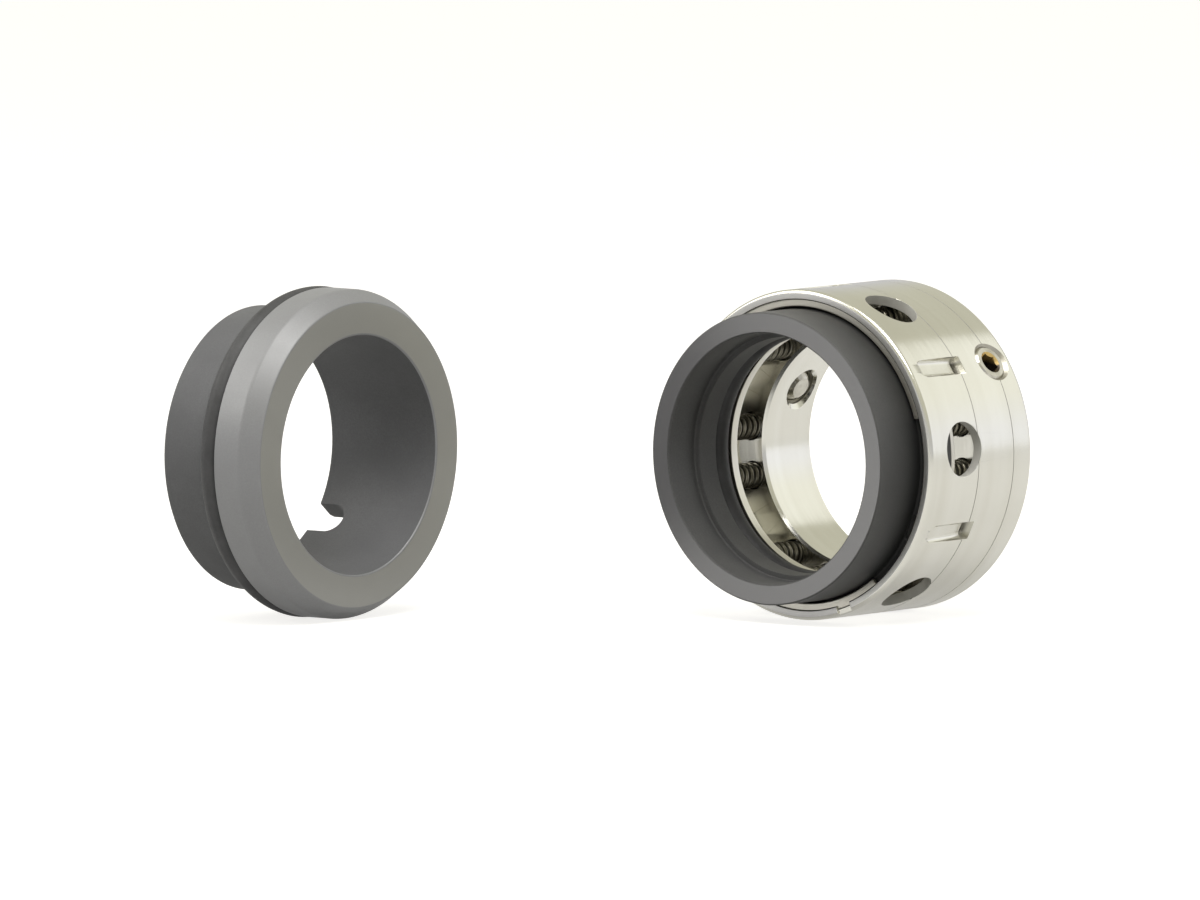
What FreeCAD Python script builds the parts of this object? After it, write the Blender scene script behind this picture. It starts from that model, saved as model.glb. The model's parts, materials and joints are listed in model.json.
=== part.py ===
import FreeCAD, Part
import math
import os

# A component mechanical seal for a 50 mm shaft, as its two halves stand side by side.
# The rotary head is gripped on the shaft by set screws. Its steel retainer holds a sliding
# primary ring that twelve springs push forward. The stationary seat sits in the housing on
# its rubber ring, and the primary ring runs against the seat's face.
#
# The head's shaft axis is the Y axis. Its running face looks towards -Y, the set screws lie in
# the plane y = 0, and Z is up. The seat's axis runs along X and its face looks towards +X.
# Both stand on one level surface. Lengths are in millimetres and angles in degrees. An angle
# on a ring is counted from its top, towards +X on the head and towards +Y on the seat.

# Clearances
shaft_play = 0.02      # between the shaft and the retainer's bore
ring_play = 0.3        # between the shaft and the primary ring
slide_gap = 0.2        # around what slides inside the shell
contact_gap = 0.05     # left where one piece lies against another
lug_play = 0.25        # on each side of a drive lug in its slot
pocket_play = 0.2      # around a spring in its pocket
thread_play = 0.05     # between a set screw and its tapped hole

# Shaft
shaft_radius = 25.0

# Retainer: a thin shell in front of a solid collar
shell_height = 10.1    # from the shaft's surface to the shell's outside
shell_wall = 2.2
chamber_length = 18.6
collar_length = 16.1
back_round = 1.4
bore_chamfer = 0.6
lip_chamfer = 0.5

# Snap ring inside the shell's lip
groove_setback = 0.35
groove_depth = 0.8
snap_thickness = 1.2
snap_width = 2.2
snap_gap_middle = 108.0
snap_gap_angle = 70.0
notch_angle = 160.0
notch_width = 3.6

# Windows through the shell
window_count = 6
window_radius = 5.8
window_setback = 7.2
first_window_angle = 26.0

# Pressed dents, which stand inside the shell as drive lugs
dent_lip_land = 3.5
dent_collar_land = 0.5
dent_width = 4.2
dent_rounding = 1.1    # along both sides of a dent's floor
dent_front_depth = 0.8
dent_middle_depth = 1.5
dent_back_depth = 2.4
dent_front_ramp = 1.5
dent_back_ramp = 3.7
dent_floor_end = 0.8
lug_height = 1.5
lug_side_wall = 0.6
lug_ramp = 1.4
lug_setback = 0.35

# Primary ring
nose_reach = 11.8
nose_snap_gap = 0.45   # between the nose and the snap ring around it
nose_bore_step = 1.3
nose_bore_depth = 8.8
nose_chamfer = 0.3
flange_length = 8.25
flange_wall = 1.0      # between the rubber ring's room and the bottom of a lug's slot
oring_room_play = 0.9  # along the shaft, beside the rubber ring in its room
slot_floor_gap = 0.2

# Rubber rings; the one on the shaft fills the room that the primary ring leaves it
seat_oring_section = 4.8
oring_stretch_gap = 0.05

# Thrust ring behind the primary ring, with a short sleeve that backs the rubber ring
thrust_thickness = 1.2
thrust_bore_gap = 1.0
thrust_chamfer = 0.4
sleeve_wall = 3.0
sleeve_length = 1.2

# Springs in pairs beside each window
pocket_inner_wall = 0.98
pocket_outer_wall = 3.1
spring_pair_angle = 10.4
spring_index = 4.9     # the coil's middle diameter over the wire's thickness
pocket_depth = 5.6
coil_turns = 8
closed_turns = 1
corners_per_turn = 8
closed_turn_gap = 0.05

# Set screws
screw_count = 3
screw_radius = 4.0
screw_setback = 6.5
screw_head_sink = 0.35   # from the collar's outside down to the screw's end
screw_tip_gap = 0.15
screw_point_radius = 2.5
screw_point_length = 1.2
countersink_radius = 5.0
countersink_depth = 0.75
socket_width = 4.0
socket_depth = 4.2
socket_chamfer = 0.35
socket_mouth_gap = 0.25  # from the hexagon's corners out to the mouth's bevel

# Seat
seat_flange_height = 10.0     # from the shaft's surface to the flange's outside
seat_bore_gap = 0.4
seat_oring_stand_out = 0.15   # how far the rubber ring stands out past the flange
seat_bevel_width = 2.5
seat_bevel_length = 3.8
seat_flange_end = 10.6
seat_length = 29.0
spigot_chamfer = 0.8
seat_edge_chamfer = 0.2
seat_slot_width = 6.8
seat_slot_depth = 7.8
seat_slot_angle = 130.0
seat_face_x = -71.9
seat_axis_y = -87.8

# Worked out from the sizes above
vector = FreeCAD.Vector
origin = vector(0, 0, 0)
shaft_axis = vector(0, 1, 0)
up = vector(0, 0, 1)

back_face = screw_setback
collar_face = back_face - collar_length
lip_face = collar_face - chamber_length
running_face = lip_face - nose_reach

shell_radius = shaft_radius + shell_height
shell_bore = shell_radius - shell_wall
collar_bore = shaft_radius + shaft_play
sliding_radius = shell_bore - slide_gap

groove_front = lip_face + groove_setback
groove_width = snap_thickness + 2 * contact_gap
groove_back = groove_front + groove_width
snap_front = groove_front + contact_gap
snap_back = snap_front + snap_thickness
snap_outer_radius = shell_bore + groove_depth - contact_gap
snap_inner_radius = snap_outer_radius - snap_width
nose_radius = snap_inner_radius - nose_snap_gap

window_pitch = 360.0 / window_count
window_angles = [first_window_angle + window_pitch * i for i in range(window_count)]
dent_angles = [angle + window_pitch / 2 for angle in window_angles]
screw_angles = [dent_angles[0] + 360.0 / screw_count * i for i in range(screw_count)]
spring_angles = []
for window_angle in window_angles:
    spring_angles.append(window_angle - spring_pair_angle)
    spring_angles.append(window_angle + spring_pair_angle)

lug_radius = shell_bore - lug_height
lug_width = dent_width + 2 * lug_side_wall
lug_front = groove_back + lug_setback
slot_width = lug_width + 2 * lug_play
slot_floor = lug_radius - slot_floor_gap

flange_front = snap_back + contact_gap
flange_back = flange_front + flange_length
oring_bore = slot_floor - flange_wall
shaft_oring_section = oring_bore - shaft_radius - 2 * oring_stretch_gap
oring_room_depth = shaft_oring_section + oring_room_play + sleeve_length
oring_room_front = flange_back - oring_room_depth
thrust_front = flange_back + contact_gap
thrust_back = thrust_front + thrust_thickness
sleeve_front = thrust_front - sleeve_length

pocket_room = shell_radius - collar_bore - pocket_inner_wall - pocket_outer_wall
pocket_radius = pocket_room / 2
spring_circle_radius = collar_bore + pocket_inner_wall + pocket_radius
coil_radius = pocket_radius - pocket_play
wire = 2 * coil_radius / (spring_index + 1)
spring_front = thrust_back + contact_gap
spring_back = collar_face + pocket_depth - contact_gap

seat_bore = shaft_radius + seat_bore_gap
seat_flange_radius = shaft_radius + seat_flange_height
seat_face_radius = seat_flange_radius - seat_bevel_width
seat_oring_radius = seat_flange_radius + seat_oring_stand_out
seat_oring_middle = seat_oring_radius - seat_oring_section / 2
spigot_radius = seat_oring_radius - seat_oring_section - oring_stretch_gap
seat_axis_z = seat_oring_radius - shell_radius


def turned(corners, angle=360.0):
    """Solid turned about the shaft axis from corners given as (radius, y)."""
    points = [vector(radius, y, 0) for radius, y in corners]
    face = Part.Face(Part.makePolygon(points + points[:1]))
    return face.revolve(origin, shaft_axis, angle)


def rims(shape, radius, y):
    """The round edges of a turned shape at one radius and one place on the axis."""
    found = []
    for edge in shape.Edges:
        curve = edge.Curve
        if not isinstance(curve, Part.Circle):
            continue
        same_radius = abs(curve.Radius - radius) < 1e-4
        same_place = (curve.Center - vector(0, y, 0)).Length < 1e-4
        if same_radius and same_place:
            found.append(edge)
    return found


def at_angle(shape, angle):
    """A copy of a shape made at the top of the ring, turned to its angle on the ring."""
    copy = shape.copy()
    copy.rotate(origin, shaft_axis, angle)
    return copy


def around(shape, angles):
    """Copies of one shape at several angles."""
    return [at_angle(shape, angle) for angle in angles]


def side_block(outline, width):
    """A block at the top of the ring: an outline of (y, height), as wide as stated."""
    points = [vector(-width / 2, y, height) for y, height in outline]
    face = Part.Face(Part.makePolygon(points + points[:1]))
    return face.extrude(vector(width, 0, 0))


def round_channel(floor, width, rounding):
    """A cutter at the top of the ring, up from a floor of (y, height) with rounded sides."""
    (first_y, first_height), (next_y, next_height) = floor[:2]
    top = shell_radius + 1
    slope = (next_y - first_y) / (first_height - next_height)
    outline = [(first_y - slope * (top - first_height), top)]
    outline += floor[1:]
    outline.append((floor[-1][0], top))
    block = side_block(outline, width)
    long_edges = []
    for edge in block.Edges:
        start, end = [vertex.Point for vertex in edge.Vertexes]
        along = abs(end.x - start.x) < 1e-6 and abs(end.y - start.y) > 1e-6
        on_top = start.z > top - 1e-6 and end.z > top - 1e-6
        if along and not on_top:
            long_edges.append(edge)
    return block.makeFillet(rounding, long_edges)


def radial_cylinder(radius, y, low, high):
    """A cylinder that stands on the axis at y, between two distances from it."""
    return Part.makeCylinder(radius, high - low, vector(0, y, low), up)


def make_retainer():
    """Shell and collar in one piece, with lugs, windows, pockets and tapped holes."""
    body = turned([
        (shell_bore, lip_face),
        (shell_radius, lip_face),
        (shell_radius, back_face),
        (collar_bore, back_face),
        (collar_bore, collar_face),
        (shell_bore, collar_face),
    ])
    body = body.makeFillet(back_round, rims(body, shell_radius, back_face))
    bore_rims = rims(body, collar_bore, back_face) + rims(body, collar_bore, collar_face)
    body = body.makeChamfer(bore_chamfer, bore_rims)
    body = body.makeChamfer(lip_chamfer, rims(body, shell_radius, lip_face))

    lug_root = shell_bore + shell_wall / 4
    lug = side_block([
        (lug_front, lug_root),
        (lug_front, shell_bore),
        (lug_front + lug_ramp, lug_radius),
        (collar_face + shell_wall / 4, lug_radius),
        (collar_face + shell_wall / 4, lug_root),
    ], lug_width)
    body = body.fuse(around(lug, dent_angles))

    groove_radius = shell_bore + groove_depth
    groove = turned([
        (shell_bore - 1, groove_front),
        (groove_radius, groove_front),
        (groove_radius, groove_back),
        (shell_bore - 1, groove_back),
    ])
    notch = side_block([
        (lip_face - 1, shell_bore - 1),
        (groove_front + contact_gap, shell_bore - 1),
        (groove_front + contact_gap, shell_radius + 1),
        (lip_face - 1, shell_radius + 1),
    ], notch_width)
    cuts = [groove, at_angle(notch, notch_angle)]

    window_y = collar_face - window_setback
    window = radial_cylinder(window_radius, window_y, shell_bore - 2, shell_radius + 1)
    cuts += around(window, window_angles)

    dent_back = collar_face - dent_collar_land
    dent_front = lip_face + dent_lip_land
    floor_end = dent_back - dent_floor_end
    dent = round_channel([
        (dent_front, shell_radius),
        (dent_front + dent_front_ramp, shell_radius - dent_front_depth),
        (floor_end - dent_back_ramp, shell_radius - dent_middle_depth),
        (floor_end, shell_radius - dent_back_depth),
        (dent_back, shell_radius - dent_back_depth),
    ], dent_width, dent_rounding)
    cuts += around(dent, dent_angles)

    pocket_start = vector(0, collar_face - 1, spring_circle_radius)
    pocket = Part.makeCylinder(pocket_radius, pocket_depth + 1, pocket_start, shaft_axis)
    cuts += around(pocket, spring_angles)

    hole = radial_cylinder(screw_radius, 0, collar_bore - 2, shell_radius + 1)
    sink_depth = countersink_depth + 1
    sink_radius = countersink_radius + sink_depth - countersink_depth
    sink_foot = vector(0, 0, shell_radius - countersink_depth)
    sink = Part.makeCone(screw_radius, sink_radius, sink_depth, sink_foot, up)
    cuts += around(hole, screw_angles)
    cuts += around(sink, screw_angles)
    return body.cut(cuts)


def make_snap_ring():
    """Open flat ring in the lip's groove."""
    ring = turned([
        (snap_inner_radius, snap_front),
        (snap_outer_radius, snap_front),
        (snap_outer_radius, snap_back),
        (snap_inner_radius, snap_back),
    ], 360.0 - snap_gap_angle)
    gap_end = snap_gap_middle + snap_gap_angle / 2
    return at_angle(ring, gap_end - 90.0)


def lug_slots(front, back):
    """The cuts that let a ring pass the drive lugs."""
    slot = side_block([
        (front - 1, slot_floor),
        (back + 1, slot_floor),
        (back + 1, shell_radius),
        (front - 1, shell_radius),
    ], slot_width)
    return around(slot, dent_angles)


def make_primary_ring():
    """Nose ring with the running face, and a slotted flange that holds the rubber ring."""
    bore = shaft_radius + ring_play
    nose_bore = bore + nose_bore_step
    step = running_face + nose_bore_depth
    body = turned([
        (nose_bore, running_face),
        (nose_radius, running_face),
        (nose_radius, flange_front),
        (sliding_radius, flange_front),
        (sliding_radius, flange_back),
        (oring_bore, flange_back),
        (oring_bore, oring_room_front),
        (bore, oring_room_front),
        (bore, step),
        (nose_bore, step),
    ])
    face_rims = rims(body, nose_radius, running_face) + rims(body, nose_bore, running_face)
    body = body.makeChamfer(nose_chamfer, face_rims)
    return body.cut(lug_slots(flange_front, flange_back))


def make_oring(middle_radius, section, y):
    """Rubber ring of round section about the shaft axis."""
    return Part.makeTorus(middle_radius, section / 2, vector(0, y, 0), shaft_axis)


def make_thrust_ring():
    """Slotted steel disc between the primary ring and the springs, with its sleeve."""
    thrust_bore = shaft_radius + thrust_bore_gap
    sleeve_radius = thrust_bore + sleeve_wall
    body = turned([
        (thrust_bore, sleeve_front),
        (sleeve_radius, sleeve_front),
        (sleeve_radius, thrust_front),
        (sliding_radius, thrust_front),
        (sliding_radius, thrust_back),
        (thrust_bore, thrust_back),
    ])
    body = body.makeChamfer(thrust_chamfer, rims(body, thrust_bore, thrust_back))
    return body.cut(lug_slots(thrust_front, thrust_back))


def coil_rise(turn, open_pitch):
    """How far the wire has climbed after some turns, with closed turns at both ends."""
    closed_pitch = wire + closed_turn_gap
    first = min(turn, closed_turns)
    last = max(turn - (coil_turns - closed_turns), 0.0)
    middle = turn - first - last
    return (first + last) * closed_pitch + middle * open_pitch


def make_spring():
    """Helical compression spring at the top of the ring, its wire in short straight runs."""
    closed_rise = 2 * closed_turns * (wire + closed_turn_gap)
    free_length = spring_back - spring_front
    open_turns = coil_turns - 2 * closed_turns
    open_pitch = (free_length - wire - closed_rise) / open_turns
    wire_circle = coil_radius - wire / 2
    points = []
    for i in range(coil_turns * corners_per_turn + 1):
        turn = i / corners_per_turn
        angle = 2 * math.pi * turn
        x = wire_circle * math.cos(angle)
        z = spring_circle_radius + wire_circle * math.sin(angle)
        y = spring_front + wire / 2 + coil_rise(turn, open_pitch)
        points.append(vector(x, y, z))
    half = wire / 2
    start = points[0]
    section = Part.makePolygon([
        start + vector(-half, -half, 0),
        start + vector(half, -half, 0),
        start + vector(half, half, 0),
        start + vector(-half, half, 0),
        start + vector(-half, -half, 0),
    ])
    path = Part.makePolygon(points)
    return path.makePipeShell([section], True, False, 1)


def make_set_screw():
    """Socket screw at the top of the ring, wound in until its point is level with the bore."""
    tip = collar_bore + screw_tip_gap
    head = shell_radius - screw_head_sink
    radius = screw_radius - thread_play
    shoulder = tip + screw_point_length
    body = Part.makeCylinder(radius, head - shoulder, up * shoulder, up)
    point = Part.makeCone(screw_point_radius, radius, screw_point_length, up * tip, up)
    body = body.fuse(point).removeSplitter()
    top_edges = []
    for edge in body.Edges:
        if isinstance(edge.Curve, Part.Circle) and abs(edge.Curve.Center.z - head) < 1e-4:
            top_edges.append(edge)
    body = body.makeChamfer(socket_chamfer, top_edges)
    corners = []
    for i in range(7):
        angle = math.radians(60 * i + 30)
        reach = socket_width / math.sqrt(3)
        corners.append(vector(reach * math.cos(angle), reach * math.sin(angle), head + 1))
    socket = Part.Face(Part.makePolygon(corners)).extrude(up * -(socket_depth + 1))
    mouth_radius = socket_width / math.sqrt(3) + socket_mouth_gap
    mouth_foot = up * (head - mouth_radius)
    mouth = Part.makeCone(0, mouth_radius + 1, mouth_radius + 1, mouth_foot, up)
    return body.cut([socket, mouth])


def make_seat_ring():
    """Seat turned about the shaft axis, with its face at y = 0, before it is placed."""
    body = turned([
        (seat_bore, 0),
        (seat_face_radius, 0),
        (seat_flange_radius, seat_bevel_length),
        (seat_flange_radius, seat_flange_end),
        (spigot_radius, seat_flange_end),
        (spigot_radius, seat_length),
        (seat_bore, seat_length),
    ])
    body = body.makeChamfer(spigot_chamfer, rims(body, spigot_radius, seat_length))
    sharp_rims = rims(body, seat_bore, 0) + rims(body, seat_bore, seat_length)
    sharp_rims += rims(body, seat_flange_radius, seat_flange_end)
    body = body.makeChamfer(seat_edge_chamfer, sharp_rims)

    end_radius = seat_slot_width / 2
    slot_end = seat_length - seat_slot_depth + end_radius
    low = seat_bore - 3
    high = spigot_radius + 1
    slot = side_block([
        (slot_end, low),
        (seat_length + 1, low),
        (seat_length + 1, high),
        (slot_end, high),
    ], seat_slot_width)
    slot = slot.fuse(radial_cylinder(end_radius, slot_end, low, high))
    return body.cut(at_angle(slot, seat_slot_angle))


def place_seat(shape):
    """Turn a seat piece so that its face looks towards +X, and stand it beside the head."""
    placed = shape.copy()
    placed.rotate(origin, up, 90)
    placed.translate(vector(seat_face_x, seat_axis_y, seat_axis_z))
    return placed


parts = {}
parts["retainer"] = make_retainer()
parts["snap_ring"] = make_snap_ring()
parts["primary_ring"] = make_primary_ring()
oring_middle = shaft_radius + oring_stretch_gap + shaft_oring_section / 2
oring_y = (oring_room_front + sleeve_front) / 2
parts["shaft_o_ring"] = make_oring(oring_middle, shaft_oring_section, oring_y)
parts["thrust_ring"] = make_thrust_ring()
spring = make_spring()
for number, angle in enumerate(spring_angles, start=1):
    parts[f"spring_{number:02d}"] = at_angle(spring, angle)
set_screw = make_set_screw()
for number, angle in enumerate(screw_angles, start=1):
    parts[f"set_screw_{number}"] = at_angle(set_screw, angle)
parts["seat_ring"] = place_seat(make_seat_ring())
seat_oring_y = seat_flange_end + contact_gap + seat_oring_section / 2
seat_oring = make_oring(seat_oring_middle, seat_oring_section, seat_oring_y)
parts["seat_o_ring"] = place_seat(seat_oring)

os.makedirs("parts", exist_ok=True)
for name, shape in parts.items():
    shape.exportStep(f"parts/{name}.step")
    print(name, len(shape.Solids), shape.isValid(), round(shape.Volume, 2))
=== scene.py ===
# %% [markdown]
# # A component mechanical seal, dressed for its photograph
#
# The seal comes in two halves. The rotary head is a polished steel retainer with a dark ceramic
# ring, twelve springs and three set screws. The stationary half is a grey ceramic seat with a
# rubber ring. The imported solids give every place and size. This file gives each piece its
# finished edges, its small details and its finish, and then lights the set as in the photograph.

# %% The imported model
import json
import math

import bmesh
import bpy
from mathutils import Matrix, Vector

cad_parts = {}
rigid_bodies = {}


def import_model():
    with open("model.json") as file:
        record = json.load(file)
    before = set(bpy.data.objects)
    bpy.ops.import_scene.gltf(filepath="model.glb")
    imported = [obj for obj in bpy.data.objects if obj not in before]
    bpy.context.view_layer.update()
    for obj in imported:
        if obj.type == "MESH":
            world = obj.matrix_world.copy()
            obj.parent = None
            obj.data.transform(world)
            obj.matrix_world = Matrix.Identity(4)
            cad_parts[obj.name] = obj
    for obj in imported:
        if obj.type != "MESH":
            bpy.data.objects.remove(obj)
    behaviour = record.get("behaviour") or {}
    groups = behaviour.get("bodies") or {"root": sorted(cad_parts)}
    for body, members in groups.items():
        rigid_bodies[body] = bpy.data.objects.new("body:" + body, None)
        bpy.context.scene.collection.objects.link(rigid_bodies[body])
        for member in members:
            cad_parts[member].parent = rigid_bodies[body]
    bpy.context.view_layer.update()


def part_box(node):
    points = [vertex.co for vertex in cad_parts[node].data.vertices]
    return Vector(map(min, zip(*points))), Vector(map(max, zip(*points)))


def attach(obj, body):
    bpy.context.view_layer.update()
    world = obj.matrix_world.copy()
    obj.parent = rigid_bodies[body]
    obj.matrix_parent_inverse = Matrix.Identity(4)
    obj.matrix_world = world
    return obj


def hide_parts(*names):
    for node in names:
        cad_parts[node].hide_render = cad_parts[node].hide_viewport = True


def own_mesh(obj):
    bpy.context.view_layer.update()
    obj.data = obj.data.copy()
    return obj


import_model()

# %% [markdown]
# ## Measures
#
# Everything is modelled in millimetres, as in the shop drawing, and brought to metres once, when
# a piece is finished. Places along the shaft are read from the solids, so that the pieces made
# here always sit where the solids do. What a box can't tell, such as a window's radius, is named
# where it is used.

# %% Places read from the solids
MM = 0.001


def low_high(node):
    """The two corners of a solid's box, in millimetres."""
    low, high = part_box(node)
    return low / MM, high / MM


retainer_low, retainer_high = low_high("retainer")
primary_low, primary_high = low_high("primary_ring")
thrust_low, thrust_high = low_high("thrust_ring")
snap_low, snap_high = low_high("snap_ring")
seat_low, seat_high = low_high("seat_ring")

shaft_radius, shell_wall, collar_length = 25.0, 2.2, 16.1
shell_radius = retainer_high.x
shell_bore = shell_radius - shell_wall
lip_face = retainer_low.y
back_face = retainer_high.y
collar_face = back_face - collar_length
running_face = primary_low.y
flange_back = primary_high.y
thrust_front = thrust_low.y
thrust_back = thrust_high.y
print("shell radius", round(shell_radius, 3), "lip at", round(lip_face, 3))
print("running face at", round(running_face, 3), "back face at", round(back_face, 3))

# %% Angles round the ring
first_window, window_count, spring_aside = 26.0, 6, 10.4
window_step = 360.0 / window_count
window_angles = [first_window + window_step * i for i in range(window_count)]
dent_angles = [angle + window_step / 2 for angle in window_angles]
screw_angles = dent_angles[::2]
spring_angles = [a + side for a in window_angles for side in (-spring_aside, spring_aside)]
print("windows", window_angles)
print("set screws", screw_angles)


def off_shaft(spot):
    """How far a place is from the shaft's axis."""
    return math.hypot(spot.x, spot.z)


def direction_at(angle):
    """The way straight out from the shaft at an angle round the ring."""
    return Matrix.Rotation(math.radians(angle), 4, "Y") @ Vector((0, 0, 1))


# %% [markdown]
# ## Shop tools
#
# Most of the seal is turned work, so most pieces start in the same way: a flat outline of half
# the section is drawn, its corners are broken, and it is spun round the shaft's axis. A circle
# primitive with as many corners as the outline has is pulled into that shape one corner at a
# time, just as a point is dragged by hand. The other tool is the cutter: a block or drill that
# is taken away from a body with a Boolean.


# %% Selecting
def drop_selection():
    """Leave edit mode and let go of everything, the solids too."""
    if bpy.context.object and bpy.context.object.mode != "OBJECT":
        bpy.ops.object.mode_set(mode="OBJECT")
    bpy.ops.object.select_all(action="DESELECT")


def take(piece):
    """Make one piece the only selected and active one."""
    drop_selection()
    piece.select_set(True)
    bpy.context.view_layer.objects.active = piece


def settle(piece):
    """Write a piece's place and turn into its points."""
    take(piece)
    bpy.ops.object.transform_apply()


def open_mesh(piece, mode="VERT"):
    """Go into edit mode on a piece with nothing selected in it."""
    take(piece)
    bpy.ops.object.mode_set(mode="EDIT")
    bpy.ops.mesh.select_mode(type=mode)
    bpy.ops.mesh.select_all(action="DESELECT")


def close_mesh():
    bpy.ops.object.mode_set(mode="OBJECT")


def select_whole():
    bpy.ops.mesh.select_all(action="SELECT")


def pick_points(piece, wanted):
    """Select the points of an open mesh that a test picks out."""
    mesh = bmesh.from_edit_mesh(piece.data)
    bpy.ops.mesh.select_all(action="DESELECT")
    for point in mesh.verts:
        point.select = wanted(point)
    mesh.select_flush(True)
    bmesh.update_edit_mesh(piece.data)


def pick_faulty_edges(piece):
    """Select the edges of an open mesh that don't have two faces, and count them."""
    bpy.ops.mesh.select_all(action="DESELECT")
    bpy.ops.mesh.select_non_manifold(extend=False)
    return sum(edge.select for edge in bmesh.from_edit_mesh(piece.data).edges)


def weld():
    """Merge the points of an open mesh that share a place, and turn its faces outwards."""
    select_whole()
    bpy.ops.mesh.remove_doubles(threshold=1e-4)
    bpy.ops.mesh.normals_make_consistent(inside=False)


# %% Drawing a flat outline
def flat_outline(name, corners):
    """A filled outline, pulled out of a circle primitive corner by corner."""
    drop_selection()
    bpy.ops.mesh.primitive_circle_add(vertices=len(corners), radius=1, fill_type="NGON")
    piece = bpy.context.object
    piece.name = name
    open_mesh(piece)
    for number, corner in enumerate(corners):
        pick_points(piece, lambda point: point.index == number)
        here = bmesh.from_edit_mesh(piece.data).verts
        here.ensure_lookup_table()
        bpy.ops.transform.translate(value=Vector(corner) - here[number].co)
    close_mesh()
    return piece


def round_corners(piece, corners, radius, steps):
    """Round some corners of a flat outline."""
    open_mesh(piece)
    spots = [Vector(corner) for corner in corners]
    pick_points(piece, lambda point: any((point.co - s).length < 1e-3 for s in spots))
    bpy.ops.mesh.bevel(offset=radius, segments=steps, affect="VERTICES")
    close_mesh()


# %% Turning a ring
def spin_round(piece, axis, columns):
    """Spin a flat outline a full turn about an axis, into one closed skin."""
    open_mesh(piece)
    select_whole()
    bpy.ops.mesh.delete(type="ONLY_FACE")
    pick_points(piece, lambda point: point.co.cross(Vector(axis)).length < 1e-6)
    bpy.ops.mesh.delete(type="EDGE")
    select_whole()
    bpy.ops.mesh.spin(steps=columns, angle=2 * math.pi, center=(0, 0, 0), axis=axis)
    weld()
    close_mesh()
    return piece


def turned_ring(name, outline, columns, breaks=()):
    """A ring turned about the shaft's axis from (radius, y) corners with broken edges.

    breaks lists (corner number, radius, steps) for corners that aren't left sharp."""
    corners = [(0.0, y, radius) for radius, y in outline]
    piece = flat_outline(name, corners)
    for radius, steps in sorted({(r, s) for _, r, s in breaks}):
        same = [corners[i] for i, r, s in breaks if (r, s) == (radius, steps)]
        round_corners(piece, same, radius, steps)
    return spin_round(piece, (0, 1, 0), columns)


# %% Cutters
def side_block(name, outline, width, rounding=0.0):
    """A block at the top of the ring: an outline of (y, height), as wide as stated."""
    piece = flat_outline(name, [(-width / 2, y, height) for y, height in outline])
    open_mesh(piece)
    select_whole()
    bpy.ops.mesh.extrude_region_move(TRANSFORM_OT_translate={"value": (width, 0, 0)})
    select_whole()
    bpy.ops.mesh.normals_make_consistent(inside=False)
    if rounding:
        bpy.ops.mesh.bevel(offset=rounding, segments=2, affect="EDGES")
    close_mesh()
    return piece


def drill(name, radius, start, end, sides, turned=(0, 0, 0)):
    """A round cutter at x = 0 whose axis runs from start to end, both (y, z)."""
    y, z = (start[0] + end[0]) / 2, (start[1] + end[1]) / 2
    depth = math.dist(start, end)
    drop_selection()
    bpy.ops.mesh.primitive_cylinder_add(
        vertices=sides, radius=radius, depth=depth, location=(0, y, z), rotation=turned)
    piece = bpy.context.object
    piece.name = name
    bpy.ops.object.transform_apply()
    return piece


def copy_at(piece, angle, name=None):
    """A copy with its own mesh, turned round the shaft's axis from the ring's top."""
    copy = piece.copy()
    copy.data = piece.data.copy()
    copy.name = name or piece.name
    bpy.context.collection.objects.link(copy)
    copy.matrix_world = Matrix.Rotation(math.radians(angle), 4, "Y") @ copy.matrix_world
    settle(copy)
    return copy


def throw_away(pieces):
    for piece in pieces:
        bpy.data.objects.remove(piece)


def boolean(body, tools, operation):
    """Add tools to a body or cut them out of it, and throw the tools away."""
    take(tools[0])
    for tool in tools[1:]:
        tool.select_set(True)
    if len(tools) > 1:
        bpy.ops.object.join()
    take(body)
    step = body.modifiers.new(operation.lower(), "BOOLEAN")
    step.operation = operation
    step.object = tools[0]
    step.solver = "EXACT"
    bpy.ops.object.modifier_apply(modifier=step.name)
    throw_away(tools[:1])


# %% Finishing a piece
def finish_piece(piece, body, nodes, material, smooth=35.0):
    """Bring a piece to metres, smooth it and put it in the place of its solids."""
    piece.matrix_world = Matrix.Scale(MM, 4) @ piece.matrix_world
    settle(piece)
    bpy.ops.object.shade_smooth_by_angle(angle=math.radians(smooth))
    weights = piece.modifiers.new("even shading", "WEIGHTED_NORMAL")
    weights.keep_sharp = True
    bpy.ops.object.modifier_apply(modifier=weights.name)
    piece.data.materials.clear()
    piece.data.materials.append(material)
    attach(piece, body)
    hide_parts(*nodes)
    low = [min(v.co[i] for v in piece.data.vertices) / MM for i in range(3)]
    high = [max(v.co[i] for v in piece.data.vertices) / MM for i in range(3)]
    print(piece.name, len(piece.data.polygons), "faces",
          [round(v, 2) for v in low], [round(v, 2) for v in high])


def pick_sharp(piece, sharper_than, left_sharp):
    """Select the sharp edges of an open mesh, but not those in a place left sharp."""
    bpy.ops.mesh.select_mode(type="EDGE")
    bpy.ops.mesh.select_all(action="DESELECT")
    bpy.ops.mesh.edges_select_sharp(sharpness=math.radians(sharper_than))
    mesh = bmesh.from_edit_mesh(piece.data)
    for edge in [e for e in mesh.edges if e.select]:
        if left_sharp and left_sharp((edge.verts[0].co + edge.verts[1].co) / 2):
            edge.select = False
    bmesh.update_edit_mesh(piece.data)


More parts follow.
